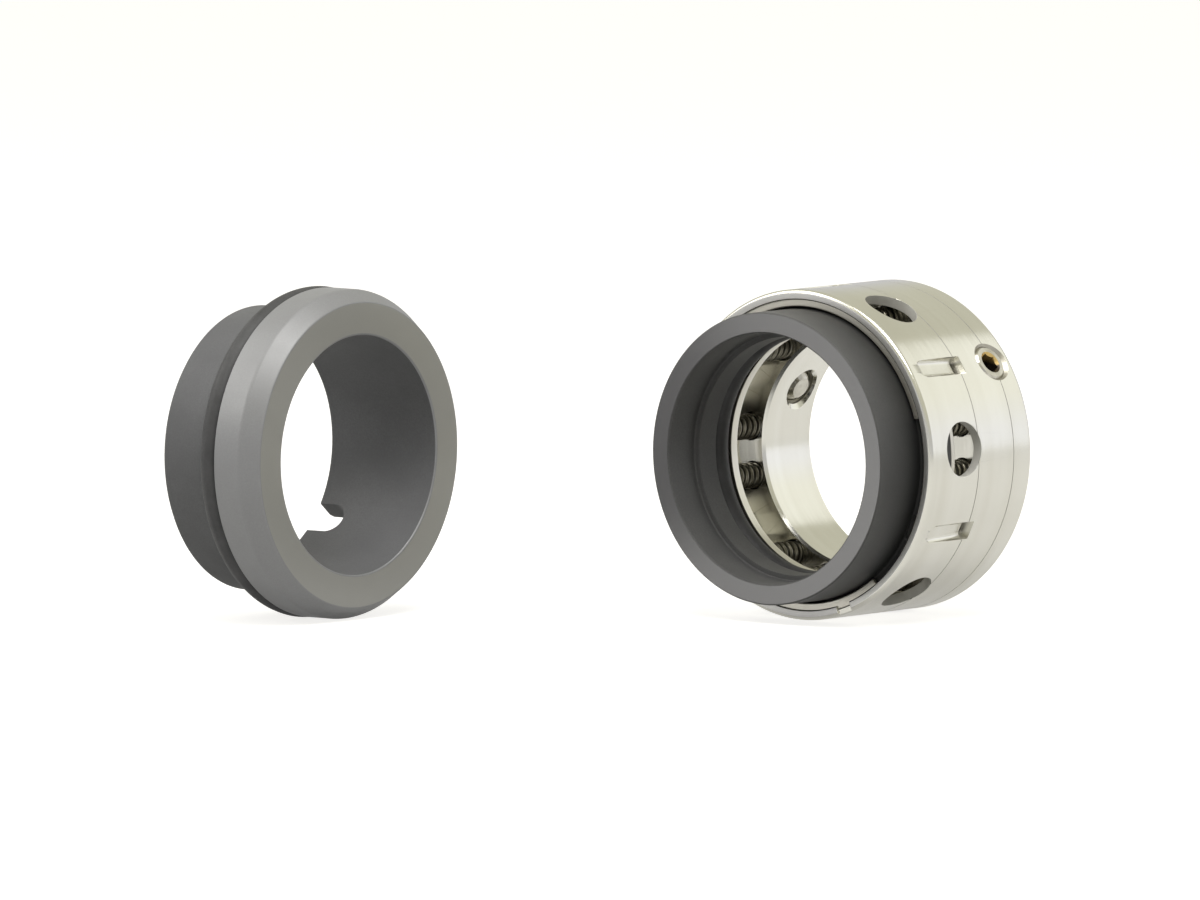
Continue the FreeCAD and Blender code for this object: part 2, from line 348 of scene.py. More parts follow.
def break_sharp_edges(piece, width, steps=2, sharper_than=50.0, left_sharp=None):
    """Take the sharpness off all edges that meet at more than an angle.

    A cut leaves very short edges beside its rim, and a bevel can't be wider than the shortest
    edge next to it. So close points are merged first."""
    open_mesh(piece, "EDGE")
    pick_sharp(piece, sharper_than, left_sharp)
    bpy.ops.mesh.select_mode(type="VERT")
    bpy.ops.mesh.select_more()
    bpy.ops.mesh.remove_doubles(threshold=width * 0.9)
    select_whole()
    bpy.ops.mesh.dissolve_degenerate(threshold=0.001)
    pick_sharp(piece, sharper_than, left_sharp)
    bpy.ops.mesh.bevel(offset=width, segments=steps, affect="EDGES", clamp_overlap=False)
    bpy.ops.mesh.select_mode(type="VERT")
    select_whole()
    bpy.ops.mesh.remove_doubles(threshold=0.004)
    bpy.ops.mesh.dissolve_degenerate(threshold=0.001)
    pick_faulty_edges(piece)
    bpy.ops.mesh.fill_holes(sides=12)
    print(piece.name, "edges broken by", width, "faulty edges left:", pick_faulty_edges(piece))
    close_mesh()


def finish_faces(piece, more, number_of):
    """Give a piece more finishes, and each of its faces the one with a face's number."""
    for material in more:
        piece.data.materials.append(material)
    counts = [0] * len(piece.data.materials)
    for face in piece.data.polygons:
        face.material_index = number_of(face)
        counts[face.material_index] += 1
    print(piece.name, "faces of each finish:", counts)


# %% [markdown]
# ## Finishes
#
# Nothing on the seal is one even colour. Each finish is worked out from a point's place on the
# piece. For turned work that place is written as a lathe sees it: how far from the axis, and
# how far along it. A pattern on those two numbers runs round the piece, as a tool's marks do.


# %% A new finish
def shader_input(material, name):
    return material.node_tree.nodes["Principled BSDF"].inputs[name]


def new_finish(name, colour, metallic, roughness):
    """A finish with its plain values set on the shader itself."""
    material = bpy.data.materials.new(name)
    material.use_nodes = True
    shader_input(material, "Base Color").default_value = (*colour, 1)
    shader_input(material, "Metallic").default_value = metallic
    shader_input(material, "Roughness").default_value = roughness
    material.diffuse_color = (*colour, 1)
    return material


def add_node(material, kind, **values):
    """A node with its settings, and with its inputs where a name is an input's."""
    node = material.node_tree.nodes.new("ShaderNode" + kind)
    for key, value in values.items():
        if key in node.inputs:
            node.inputs[key].default_value = value
        else:
            setattr(node, key, value)
    return node


def link(material, start, end):
    material.node_tree.links.new(start, end)


def calculate(material, operation, *terms):
    """A sum or the like of plain numbers and other nodes' outputs."""
    node = add_node(material, "Math", operation=operation)
    for socket, term in zip(node.inputs, terms):
        if isinstance(term, float):
            socket.default_value = term
        else:
            link(material, term, socket)
    return node.outputs[0]


# %% Where a point is
def plain_place(material):
    """Object coordinates, in metres."""
    return add_node(material, "TexCoord").outputs["Object"]


def taken_apart(material, place):
    """The X, Y and Z of a place."""
    node = add_node(material, "SeparateXYZ")
    link(material, place, node.inputs["Vector"])
    return node.outputs


def put_together(material, *values):
    """A place made of two or three values."""
    node = add_node(material, "CombineXYZ")
    for value, socket in zip(values, node.inputs):
        link(material, value, socket)
    return node.outputs["Vector"]


def lathe_place(material, axis, centre):
    """Distance from the axis, place along it, and a slow drift across it."""
    drift = 0.04
    moved = add_node(material, "Mapping", Location=tuple(-c for c in centre))
    link(material, plain_place(material), moved.inputs["Vector"])
    parts = taken_apart(material, moved.outputs["Vector"])
    across = [parts[name] for name in "XYZ" if name != axis]
    radius = add_node(material, "VectorMath", operation="LENGTH")
    link(material, put_together(material, *across), radius.inputs[0])
    slow = calculate(material, "MULTIPLY", across[1], drift)
    return put_together(material, radius.outputs["Value"], parts[axis], slow)


# %% Layers of a finish
def noise(material, per_metre, detail=3.0, rough=0.55, place=None):
    """A soft random pattern with about so many patches in a metre."""
    texture = add_node(material, "TexNoise", Scale=per_metre, Detail=detail, Roughness=rough)
    link(material, place or plain_place(material), texture.inputs["Vector"])
    return texture.outputs["Fac"]


def spread(material, pattern, low, high, start=0.3, end=0.7):
    """A pattern brought to a range of values."""
    node = add_node(material, "MapRange", **{"From Min": start, "From Max": end,
                                             "To Min": low, "To Max": high})
    link(material, pattern, node.inputs["Value"])
    return node.outputs["Result"]


def blend_colours(material, pattern, first, second, start=0.3, end=0.7):
    """A colour between two, as a pattern says."""
    mix = add_node(material, "Mix", data_type="RGBA")
    link(material, spread(material, pattern, 0.0, 1.0, start, end), mix.inputs[0])
    for socket, colour in ((mix.inputs[6], first), (mix.inputs[7], second)):
        if isinstance(colour, tuple):
            socket.default_value = (*colour, 1)
        else:
            link(material, colour, socket)
    return mix.outputs[2]


def set_colour(material, pattern, first, second, start=0.3, end=0.7):
    shade = blend_colours(material, pattern, first, second, start, end)
    link(material, shade, shader_input(material, "Base Color"))


def set_roughness(material, value):
    link(material, value, shader_input(material, "Roughness"))


def set_relief(material, patterns):
    """Small relief from several (pattern, height in thousandths of a millimetre) layers."""
    normal = None
    for pattern, height in patterns:
        bump = add_node(material, "Bump", Strength=1.0, Distance=height * MM * MM)
        link(material, pattern, bump.inputs["Height"])
        if normal:
            link(material, normal, bump.inputs["Normal"])
        normal = bump.outputs["Normal"]
    link(material, normal, shader_input(material, "Normal"))


# %% [markdown]
# ### Turned and polished steel
#
# The retainer is bright, slightly warm stainless steel. It was turned and then polished, so the
# tool's marks are nearly gone: what is left are faint rings that make its reflections a little
# longer round the ring than along it. A cloudy layer stands for handling, and a darker tone
# gathers a little in some rings. Holes and pockets are never polished, so they get a duller
# steel, painted darker still as a painted shade. The lip's end is faced, the windows' walls are
# milled and matt, a dent's deep end gets a painted shade that darkens towards its bottom, and
# the two scribed lines hold some grime.

# %% Steel
head_middle = (0.0, 0.0, 0.0)


def turned_steel(name, bright, dull, low, high):
    """Steel with rings round the shaft, in two colours, with its roughness from low to high."""
    material = new_finish(name, bright, 1.0, (low + high) / 2)
    place = lathe_place(material, "Y", head_middle)
    marks = noise(material, 1400.0, 4.0, 0.6, place)
    bands = noise(material, 160.0, 2.0, place=place)
    cloud = noise(material, 55.0, 4.0)
    shade = blend_colours(material, bands, bright, dull, 0.35, 0.75)
    set_colour(material, cloud, shade, dull, 0.45, 0.9)
    set_roughness(material, calculate(material, "ADD", spread(material, marks, low, high),
                                      spread(material, cloud, 0.0, 0.05)))
    set_relief(material, [(marks, 2.5), (bands, 4.0)])
    return material


polished = turned_steel("polished_steel", (0.81, 0.80, 0.75), (0.73, 0.715, 0.65), 0.13, 0.20)
rolled = turned_steel("snap_ring_steel", (0.86, 0.84, 0.78), (0.74, 0.71, 0.62), 0.30, 0.42)
ground = turned_steel("thrust_ring_steel", (0.74, 0.72, 0.66), (0.60, 0.58, 0.52), 0.25, 0.36)
end_face = turned_steel("faced_steel", (0.82, 0.81, 0.80), (0.74, 0.73, 0.71), 0.34, 0.42)
# Unpolished steel for holes and pockets, painted darker: a painted shade in them.
as_cut_shaded = turned_steel("cut_steel_and_shade", (0.56, 0.54, 0.48), (0.36, 0.34, 0.29), 0.28, 0.42)
milled = turned_steel("milled_steel", (0.70, 0.69, 0.65), (0.62, 0.61, 0.57), 0.40, 0.50)
shader_input(milled, "Metallic").default_value = 0.35

scribed = new_finish("scribed_grime", (0.32, 0.31, 0.27), 0.0, 0.7)
set_colour(scribed, noise(scribed, 90.0), (0.36, 0.35, 0.31), (0.26, 0.25, 0.22), 0.35, 0.7)

# A painted shade at a dent's deep end: darker towards the bottom of the dent.
dark_depth, bright_depth = 2.3, 0.9
dent_end_painted_shade = new_finish("dent_end_painted_shade", (0.5, 0.49, 0.45), 1.0, 0.36)
dent_place = taken_apart(dent_end_painted_shade, lathe_place(dent_end_painted_shade, "Y", head_middle))
set_colour(dent_end_painted_shade, dent_place["X"], (0.34, 0.33, 0.30), (0.74, 0.73, 0.68),
           (shell_radius - dark_depth) * MM, (shell_radius - bright_depth) * MM)
print("steel finishes:", polished.name, rolled.name, ground.name, end_face.name, as_cut_shaded.name,
      milled.name, scribed.name, dent_end_painted_shade.name)

# %% [markdown]
# ### Ceramic
#
# Both seal faces are silicon carbide. Ground sides are matt grey with a fine grain and faint
# grinding rings. A running face is lapped flat, so it is smoother and mirrors what stands in
# front of it; silicon carbide bends light strongly, which the high index of the lapped finish
# stands for. The seat's bore and rear end are left as they came from the furnace, and so they
# are darker than its flange; in the bore this darkness is also a painted shade, where the ring
# shades itself. The primary ring is the darker of the two rings, and its nose gets a painted
# shade, darker still towards the retainer, whose lip shades it.


# %% Ceramic
def lapped_ceramic(name, light, dark, roughness, index):
    """A smooth face whose colour changes only in one broad, soft cloud."""
    material = new_finish(name, light, 0.0, roughness)
    shader_input(material, "IOR").default_value = index
    set_colour(material, noise(material, 25.0, 0.0), light, dark, 0.2, 0.95)
    return material


def ceramic(name, light, dark, roughness, index, axis, centre, heights, painted_shade=None):
    """Ceramic with the heights of its grain and of the grinding rings round an axis."""
    material = new_finish(name, light, 0.0, roughness)
    shader_input(material, "IOR").default_value = index
    place = lathe_place(material, axis, centre)
    rings = noise(material, 900.0, place=place)
    grain = noise(material, 2600.0, 2.0, 0.7)
    cloud = noise(material, 70.0)
    shade = blend_colours(material, grain, light, dark, 0.25, 0.8)
    shade = blend_colours(material, cloud, shade, dark, 0.4, 0.95)
    # A painted shade: the colour darkens along the axis from one place to another.
    if painted_shade:
        unshaded_end, shaded_end, painted_shade_colour = painted_shade
        along = taken_apart(material, place)["Y"]
        shade = blend_colours(material, along, shade, painted_shade_colour, unshaded_end, shaded_end)
    link(material, shade, shader_input(material, "Base Color"))
    set_roughness(material, spread(material, cloud, roughness - 0.04, roughness + 0.06))
    set_relief(material, [layer for layer in zip((grain, rings), heights) if layer[1]])
    return material


seat_centre = tuple((seat_low + seat_high) / 2 * MM)
dark_side = ceramic("dark_ceramic_ground", (0.11, 0.11, 0.11), (0.08, 0.08, 0.08),
                    0.50, 1.3, "Y", head_middle, (2.0, 2.0))
# The nose has a painted shade, darker towards the retainer's lip, which shades it.
dark_nose = ceramic("dark_ceramic_nose", (0.125, 0.125, 0.123), (0.10, 0.10, 0.10),
                    0.50, 1.3, "Y", head_middle, (2.0, 2.0),
                    (running_face * MM, lip_face * MM, (0.028, 0.028, 0.028)))
dark_face = lapped_ceramic("dark_ceramic_lapped", (0.125, 0.123, 0.130),
                           (0.12, 0.118, 0.125), 0.24, 2.4)
seat_side = ceramic("grey_ceramic_ground", (0.26, 0.262, 0.275), (0.21, 0.211, 0.22),
                    0.45, 2.0, "X", seat_centre, (4.0, 2.0))
seat_face = lapped_ceramic("grey_ceramic_lapped", (0.305, 0.303, 0.28),
                           (0.295, 0.292, 0.27), 0.28, 2.2)
# Darker as fired, and in the bore also a painted shade.
seat_fired_and_shaded = ceramic("grey_ceramic_fired_and_shaded", (0.155, 0.157, 0.163), (0.12, 0.121, 0.126),
                     0.58, 1.4, "X", seat_centre, (6.0, 0.0))
print("ceramic finishes:", dark_side.name, dark_nose.name, dark_face.name,
      seat_side.name, seat_face.name, seat_fired_and_shaded.name)

# %% [markdown]
# ### Rubber, spring wire and screw steel
#
# The rubber rings are moulded and matt, with a little grey bloom. The wire is drawn steel, brown
# and nearly black from its heat treatment, rubbed brighter here and there. The set screws are
# plain steel, and the inside of a socket has a brown film of dried oil, with a painted light
# and a painted shade on it: golden higher up and nearly black lower down.

# %% Rubber and wire
rubber = new_finish("moulded_rubber", (0.05, 0.05, 0.052), 0.0, 0.55)
rubber_bloom = noise(rubber, 130.0, 4.0)
rubber_skin = noise(rubber, 2400.0, 2.0)
set_colour(rubber, rubber_bloom, (0.042, 0.042, 0.044), (0.085, 0.085, 0.088), 0.35, 0.8)
set_roughness(rubber, spread(rubber, rubber_skin, 0.48, 0.64))
set_relief(rubber, [(rubber_skin, 10.0)])

wire_finish = new_finish("drawn_wire", (0.20, 0.185, 0.14), 0.9, 0.36)
wire_rub = noise(wire_finish, 420.0)
set_colour(wire_finish, wire_rub, (0.13, 0.12, 0.09), (0.34, 0.32, 0.26), 0.4, 0.75)
set_roughness(wire_finish, spread(wire_finish, wire_rub, 0.42, 0.28))

# %% Screw steel
screw_steel = new_finish("screw_steel", (0.58, 0.56, 0.50), 1.0, 0.3)
screw_wear = noise(screw_steel, 380.0, 4.0)
set_colour(screw_steel, screw_wear, (0.62, 0.60, 0.54), (0.40, 0.38, 0.32), 0.4, 0.8)
set_roughness(screw_steel, spread(screw_steel, screw_wear, 0.15, 0.28))

# A brown film of dried oil with painted light and shade: golden higher up, nearly black lower
# down.
socket_film_and_shade = new_finish("socket_film_and_shade", (0.45, 0.30, 0.10), 0.8, 0.4)
film_patches = noise(socket_film_and_shade, 500.0)
film_foot, film_head = 18.3 * MM, 20.3 * MM
film_height = taken_apart(socket_film_and_shade, plain_place(socket_film_and_shade))["Z"]
film_light_and_shade = spread(socket_film_and_shade, film_height, 0.7, 0.0, film_foot, film_head)
film_edge = calculate(socket_film_and_shade, "MULTIPLY_ADD", film_patches, 0.6, film_light_and_shade)
set_colour(socket_film_and_shade, film_edge, (0.72, 0.52, 0.20), (0.05, 0.04, 0.03), 0.42, 0.85)
set_roughness(socket_film_and_shade, spread(socket_film_and_shade, film_patches, 0.32, 0.5))
print("other finishes:", rubber.name, wire_finish.name, screw_steel.name, socket_film_and_shade.name)

# %% [markdown]
# ## The retainer
#
# One piece of steel: a collar that is gripped on the shaft, and a thin shell in front of it
# that holds the ring, the thrust ring and the springs. It is a turned part first. The outline
# has the snap ring's groove, the rounded back rim and two fine scribed lines, one at the edge
# of the windows and one through the set screws. Everything that isn't round comes after.

# %% Turned blank of the retainer
groove_front, groove_back = snap_low.y - 0.05, snap_high.y + 0.05
groove_radius = shell_bore + 0.8
collar_bore = shaft_radius + 0.02
line_half, line_depth = 0.1, 0.09


def scribed_line(y):
    """Three corners of a fine groove in the shell's outside."""
    return [(shell_radius, y - line_half), (shell_radius - line_depth, y),
            (shell_radius, y + line_half)]


scribed_places = (collar_face - 2.3, 0.0)
retainer_outline = [(shell_bore, lip_face), (shell_radius, lip_face)]
for scribed_place in scribed_places:
    retainer_outline += scribed_line(scribed_place)
retainer_outline += [
    (shell_radius, back_face), (collar_bore, back_face),
    (collar_bore, collar_face), (shell_bore, collar_face),
    (shell_bore, groove_back), (groove_radius, groove_back),
    (groove_radius, groove_front), (shell_bore, groove_front),
]
retainer_breaks = [(0, 0.4, 4), (1, 0.95, 8), (8, 1.4, 8), (9, 0.6, 1), (10, 0.6, 1),
                   (11, 0.3, 3), (12, 0.1, 2), (15, 0.1, 2)]
retainer = turned_ring("retainer_shell", retainer_outline, 360, retainer_breaks)
print("retainer blank:", len(retainer.data.polygons), "faces")

# %% [markdown]
# ### Lugs and dents
#
# Six dents are pressed into the shell from outside. Inside, each stands up as a lug that runs in
# a slot of the ring and drives it round. The lugs are added before the dents are cut, so that
# the wall keeps its thickness. A dent gets deeper towards the collar and ends in a small step.

# %% Drive lugs
lug_height, dent_width = 1.5, 4.2
lug_radius = shell_bore - lug_height
lug_front, lug_slope, lug_sunk = groove_back + 0.35, 1.4, 0.5
lug_outline = [
    (lug_front, shell_bore + lug_sunk), (lug_front, shell_bore - 0.01),
    (lug_front + lug_slope, lug_radius), (collar_face + lug_sunk, lug_radius),
    (collar_face + lug_sunk, shell_bore + lug_sunk),
]
lug = side_block("drive_lug", lug_outline, dent_width + 1.2, 0.25)
boolean(retainer, [copy_at(lug, angle) for angle in dent_angles], "UNION")
throw_away([lug])
print("retainer with lugs:", len(retainer.data.polygons), "faces")

# %% Pressed dents
dent_front, dent_back = lip_face + 3.5, collar_face - 0.5
outside = shell_radius + 1.0
shallow, middling, deep = (shell_radius - depth for depth in (0.8, 1.35, 2.4))
dent_outline = [
    (dent_front - 1.875, outside), (dent_front + 1.5, shallow), (dent_back - 2.3, middling),
    (dent_back - 0.8, deep), (dent_back, deep), (dent_back, outside),
]
dent = side_block("pressed_dent", dent_outline, dent_width)
open_mesh(dent, "EDGE")
dent_mesh = bmesh.from_edit_mesh(dent.data)
for edge in dent_mesh.edges:
    one, other = (point.co for point in edge.verts)
    lengthwise = abs(one.x - other.x) < 1e-3 < abs(one.y - other.y)
    edge.select = lengthwise and min(one.z, other.z) < shell_radius
bmesh.update_edit_mesh(dent.data)
bpy.ops.mesh.bevel(offset=1.1, segments=6, affect="EDGES")
close_mesh()
cutters = [copy_at(dent, angle) for angle in dent_angles]
throw_away([dent])

# %% [markdown]
# ### Windows, pockets and tapped holes
#
# Six windows are milled through the shell, each over a pair of springs. Twelve flat-bottomed
# pockets in the collar hold the springs' rear ends. Three holes are tapped for the set screws:
# the thread is a row of sharp grooves in the wall, and both mouths are countersunk. A notch
# through the lip lets a blade lift the snap ring out.

# %% Windows and pockets
window_middle, window_radius = collar_face - 7.2, 5.8
window = drill("window_cutter", window_radius, (window_middle, shell_bore - 2),
               (window_middle, outside), 72)
cutters += [copy_at(window, angle) for angle in window_angles]
spring_circle, pocket_radius, pocket_depth = 29.0, 3.0, 5.6
pocket = drill("pocket_cutter", pocket_radius, (collar_face - 1, spring_circle),
               (collar_face + pocket_depth, spring_circle), 40, (math.pi / 2, 0, 0))
cutters += [copy_at(pocket, angle) for angle in spring_angles]
throw_away([window, pocket])


# %% Solids turned about a screw's own axis
def turned_solid(name, outline, columns):
    """A solid turned about the vertical axis from (radius, height) corners.

    The outline starts and ends on the axis."""
    piece = flat_outline(name, [(radius, 0.0, height) for radius, height in outline])
    return spin_round(piece, (0, 0, 1), columns)


def thread_corners(radius, depth, low, high):
    """Corners of a thread's sharp grooves from low to high; a negative depth cuts outwards."""
    pitch, land = 1.25, 0.15
    corners = []
    for turn in range(int((high - low) / pitch)):
        foot = low + turn * pitch
        corners += [(radius, foot + land), (radius - depth, foot + pitch / 2),
                    (radius, foot + pitch - land)]
    return corners


# %% Tapped holes and the notch in the lip
hole_radius, outer_sink, inner_sink = 4.0, 0.75, 0.45
sink_foot, inner_foot = shell_radius - outer_sink, collar_bore + inner_sink
hole_outline = [(0, collar_bore - 2), (hole_radius + 2.3, collar_bore - 2),
                (hole_radius, inner_foot)]
hole_outline += thread_corners(hole_radius, -0.35, collar_bore + 0.5, sink_foot)
hole_outline += [(hole_radius, sink_foot), (hole_radius + 2, sink_foot + 1.75),
                 (0, sink_foot + 1.75)]
tapped_hole = turned_solid("tapped_hole_cutter", hole_outline, 48)
cutters += [copy_at(tapped_hole, angle) for angle in screw_angles]

notch_width, notch_angle, notch_end = 3.6, 160.0, groove_front + 0.1
notch_outline = [(lip_face - 1, shell_bore - 1), (notch_end, shell_bore - 1),
                 (notch_end, outside), (lip_face - 1, outside)]
notch = side_block("lip_notch_cutter", notch_outline, notch_width)
cutters += [copy_at(notch, notch_angle)]
throw_away([tapped_hole, notch])
print("cutters:", len(cutters))


# %% Cut and finish the retainer
def at_dent_front(spot):
    """Is a place at a dent's front, where its rim is too flat to be broken cleanly?"""
    shallow_end = dent_front - 0.5 < spot.y < dent_front + 1.3
    return shallow_end and off_shaft(spot) > shell_radius - 0.9


boolean(retainer, cutters, "DIFFERENCE")
open_mesh(retainer)
select_whole()
bpy.ops.mesh.remove_doubles(threshold=2e-3)
close_mesh()
break_sharp_edges(retainer, 0.12, left_sharp=at_dent_front)
proud = [v.co for v in retainer.data.vertices if off_shaft(v.co) > shell_radius + 0.001]
for corner in proud:
    back = shell_radius / off_shaft(corner)
    corner.x, corner.z = corner.x * back, corner.z * back
print("corners pulled back to the turned skin:", len(proud))
finish_piece(retainer, "head", ["retainer"], polished)


# %% Its unpolished places and painted shade
def beside_hole(spot, angles, y, reach):
    """Is a point within reach of the middle line of one of the holes at y?"""
    flat = Vector((spot.x, spot.y - y, spot.z))
    return any(flat.dot(way) > 0 and (flat - way * flat.dot(way)).length < reach
               for way in map(direction_at, angles))


def retainer_finish(face):
    """0 polished, 1 as cut with painted shade, 2 scribed, 3 faced, 4 painted dent shade, 5
    milled.
    """
    spot = face.center / MM
    if face.normal.y < -0.97 and spot.y < lip_face + 0.02:
        return 3
    off_axis = off_shaft(spot)
    outwards = (face.normal.x * spot.x + face.normal.z * spot.z) / off_axis
    if off_axis > shell_radius - 0.12 and abs(face.normal.y) > 0.3:
        if any(abs(spot.y - y) < line_half for y in scribed_places):
            return 2
    if shell_bore - 2 < off_axis < shell_radius - 0.02 and abs(outwards) < 0.9:
        if beside_hole(spot, window_angles, window_middle, window_radius + 0.02):
            return 5
    if inner_foot + 0.01 < off_axis < shell_radius - 0.02 and spot.y > collar_face:
        if abs(outwards) < 0.98 and beside_hole(spot, screw_angles, 0.0, hole_radius + 0.85):
            return 1
    if off_axis > shell_radius - 2.5 and -0.9 < spot.y - dent_back < 0.3:
        if face.normal.y < -0.5 or (outwards > 0.9 and off_axis < shell_radius - 2.0):
            return 4
    in_pocket = 0.05 < spot.y - collar_face < pocket_depth + 0.1
    return 1 if in_pocket and collar_bore + 0.5 < off_axis < shell_bore else 0


finish_faces(retainer, [as_cut_shaded, scribed, end_face, dent_end_painted_shade, milled], retainer_finish)

# %% [markdown]
# ## Snap ring
#
# An open ring of flat wire that springs out into the lip's groove and keeps everything in. It
# is the turned ring again, but spun through less than a full turn, from a filled section, so
# that both ends are closed. The gap stands on the side that the photograph shows.

# %% Snap ring
snap_outer = groove_radius - 0.05
snap_inner = snap_outer - 2.2
snap_gap_middle, snap_gap = 108.0, 70.0
snap_section = [(0.0, snap_low.y, snap_inner), (0.0, snap_low.y, snap_outer),
                (0.0, snap_high.y, snap_outer), (0.0, snap_high.y, snap_inner)]
snap_ring = flat_outline("snap_ring_wire", snap_section)
open_mesh(snap_ring)
select_whole()
bpy.ops.mesh.spin(steps=220, angle=math.radians(360 - snap_gap), center=(0, 0, 0),
                  axis=(0, 1, 0))
weld()
close_mesh()
# The spin leaves its gap just past the ring's top.
snap_ring.rotation_euler.y = math.radians(snap_gap_middle - snap_gap / 2)
settle(snap_ring)
break_sharp_edges(snap_ring, 0.3, 4)
finish_piece(snap_ring, "head", ["snap_ring"], rolled)

# %% [markdown]
# ## Primary ring
#
# The dark ring that does the sealing. Its nose stands out of the retainer and ends in the
# lapped running face. Its flange has a slot for each lug, and its bore steps down in front of
# the rubber ring that seals it on the shaft. The rims of the running face have a small chamfer,
# because ceramic chips where it is sharp.

# %% Primary ring
ring_bore = shaft_radius + 0.3
nose_radius = snap_inner - 0.45
nose_bore = ring_bore + 1.3
bore_step = running_face + 8.8
flange_front = snap_high.y + 0.05
slide_radius = shell_bore - 0.2
slot_floor = lug_radius - 0.2
room_radius = slot_floor - 1.0
room_front = flange_back - 7.2
primary_outline = [
    (nose_bore, running_face), (nose_radius, running_face), (nose_radius, flange_front),
    (slide_radius, flange_front), (slide_radius, flange_back), (room_radius, flange_back),
    (room_radius, room_front), (ring_bore, room_front), (ring_bore, bore_step),
    (nose_bore, bore_step),
]
primary_breaks = [(0, 0.3, 1), (1, 0.3, 1), (2, 0.5, 3), (3, 0.15, 2), (4, 0.15, 2),
                  (5, 0.3, 1), (6, 0.4, 3), (8, 0.25, 2), (9, 0.4, 3)]
primary_ring = turned_ring("primary_ring_ceramic", primary_outline, 288, primary_breaks)


def lug_slot(front, back):
    """The cutter for one slot that lets a ring pass a drive lug."""
    outline = [(front - 1, slot_floor), (back + 1, slot_floor),
               (back + 1, shell_radius), (front - 1, shell_radius)]
    return side_block("lug_slot_cutter", outline, dent_width + 1.7)


slot = lug_slot(flange_front, flange_back)
boolean(primary_ring, [copy_at(slot, angle) for angle in dent_angles], "DIFFERENCE")
throw_away([slot])
break_sharp_edges(primary_ring, 0.12)
finish_piece(primary_ring, "sliding_face", ["primary_ring"], dark_side)


# %% Its lapped running face and its nose
def primary_finish(face):
    """0 ground, 1 lapped, 2 the nose."""
    spot = face.center / MM
    if face.normal.y < -0.99 and spot.y - running_face < 0.05:
        return 1
    on_nose = off_shaft(spot) > nose_radius - 0.4 and spot.y < flange_front
    return 2 if on_nose else 0


finish_faces(primary_ring, [dark_face, dark_nose], primary_finish)

# %% [markdown]
# ## Thrust ring
#
# A steel washer between the springs and the ring, so that the springs' ends don't dig into the
# ceramic. It has the same six slots, and a short sleeve at its bore that backs the rubber ring.
# The sleeve's inside shows in the bore as a bright line.

# %% Thrust ring
thrust_bore = shaft_radius + 1.0
sleeve_radius, disc_front = thrust_bore + 3.0, thrust_back - 1.2
thrust_outline = [
    (thrust_bore, thrust_front), (sleeve_radius, thrust_front), (sleeve_radius, disc_front),
    (slide_radius, disc_front), (slide_radius, thrust_back), (thrust_bore, thrust_back),
]
thrust_breaks = [(i, 0.2, 2) for i in range(5)] + [(5, 0.4, 1)]
thrust_ring = turned_ring("thrust_washer", thrust_outline, 240, thrust_breaks)
slot = lug_slot(disc_front, thrust_back)
boolean(thrust_ring, [copy_at(slot, angle) for angle in dent_angles], "DIFFERENCE")
throw_away([slot])
break_sharp_edges(thrust_ring, 0.12)
finish_piece(thrust_ring, "sliding_face", ["thrust_ring"], ground)

# %% [markdown]
# ## Rubber rings
#
# A moulded ring isn't a perfect torus. The two halves of its mould leave a hair of flash round
# its outside and its inside, and the ring is a touch thinner between them. Its section is drawn
# as a circle with those two ridges and then spun like the rest.


# %% A moulded rubber ring
def moulded_ring(name, outer_radius, section, y, columns):
    """A rubber ring about the shaft's axis with a parting line inside and outside."""
    half, corners, flash = section / 2, 40, 0.05
    outline = []
    for step in range(corners):
        angle = 2 * math.pi * step / corners
        reach = half if step in (0, corners // 2) else half - flash
        outline.append((outer_radius - half + reach * math.cos(angle),
                        y + reach * math.sin(angle)))
    return turned_ring(name, outline, columns)


shaft_rubber_low, shaft_rubber_high = low_high("shaft_o_ring")
shaft_rubber = moulded_ring(
    "shaft_rubber_ring", shaft_rubber_high.x, shaft_rubber_high.y - shaft_rubber_low.y,
    (shaft_rubber_high.y + shaft_rubber_low.y) / 2, 200)
finish_piece(shaft_rubber, "sliding_face", ["shaft_o_ring"], rubber, 60.0)

# %% [markdown]
# ## Springs
#
# Twelve small compression springs push the ring forward. One is wound here: a circle of wire is
# walked round the coil with extrude and rotate, rising slowly through the closed turns at each
# end and faster between them. Both ends are then ground flat with a bisect. The other eleven
# are copies.

# %% Wind one spring
spring_low, spring_high = low_high("spring_01")
coil_radius, wire = 2.8, 0.95
turns, closed_turns, steps_per_turn, wire_sides = 8, 1, 28, 12
ground_off = 0.22
first_y = spring_low.y + wire / 2 - ground_off
last_y = spring_high.y - wire / 2 + ground_off
closed_pitch = wire + 0.04
open_rise = last_y - first_y - 2 * closed_turns * closed_pitch
open_pitch = open_rise / (turns - 2 * closed_turns)
coil_middle = coil_radius - wire / 2

drop_selection()
bpy.ops.mesh.primitive_circle_add(
    vertices=wire_sides, radius=wire / 2, location=(coil_middle, first_y, spring_circle))
spring = bpy.context.object
spring.name = "spring_master"
bpy.ops.object.transform_apply()
open_mesh(spring)
select_whole()
for step in range(turns * steps_per_turn):
    turn = (step + 0.5) / steps_per_turn
    closed = turn < closed_turns or turn > turns - closed_turns
    rise = (closed_pitch if closed else open_pitch) / steps_per_turn
    bpy.ops.mesh.extrude_region_move(TRANSFORM_OT_translate={"value": (0, rise, 0)})
    bpy.ops.transform.rotate(value=2 * math.pi / steps_per_turn, orient_axis="Y",
                             center_override=(0, 0, spring_circle))

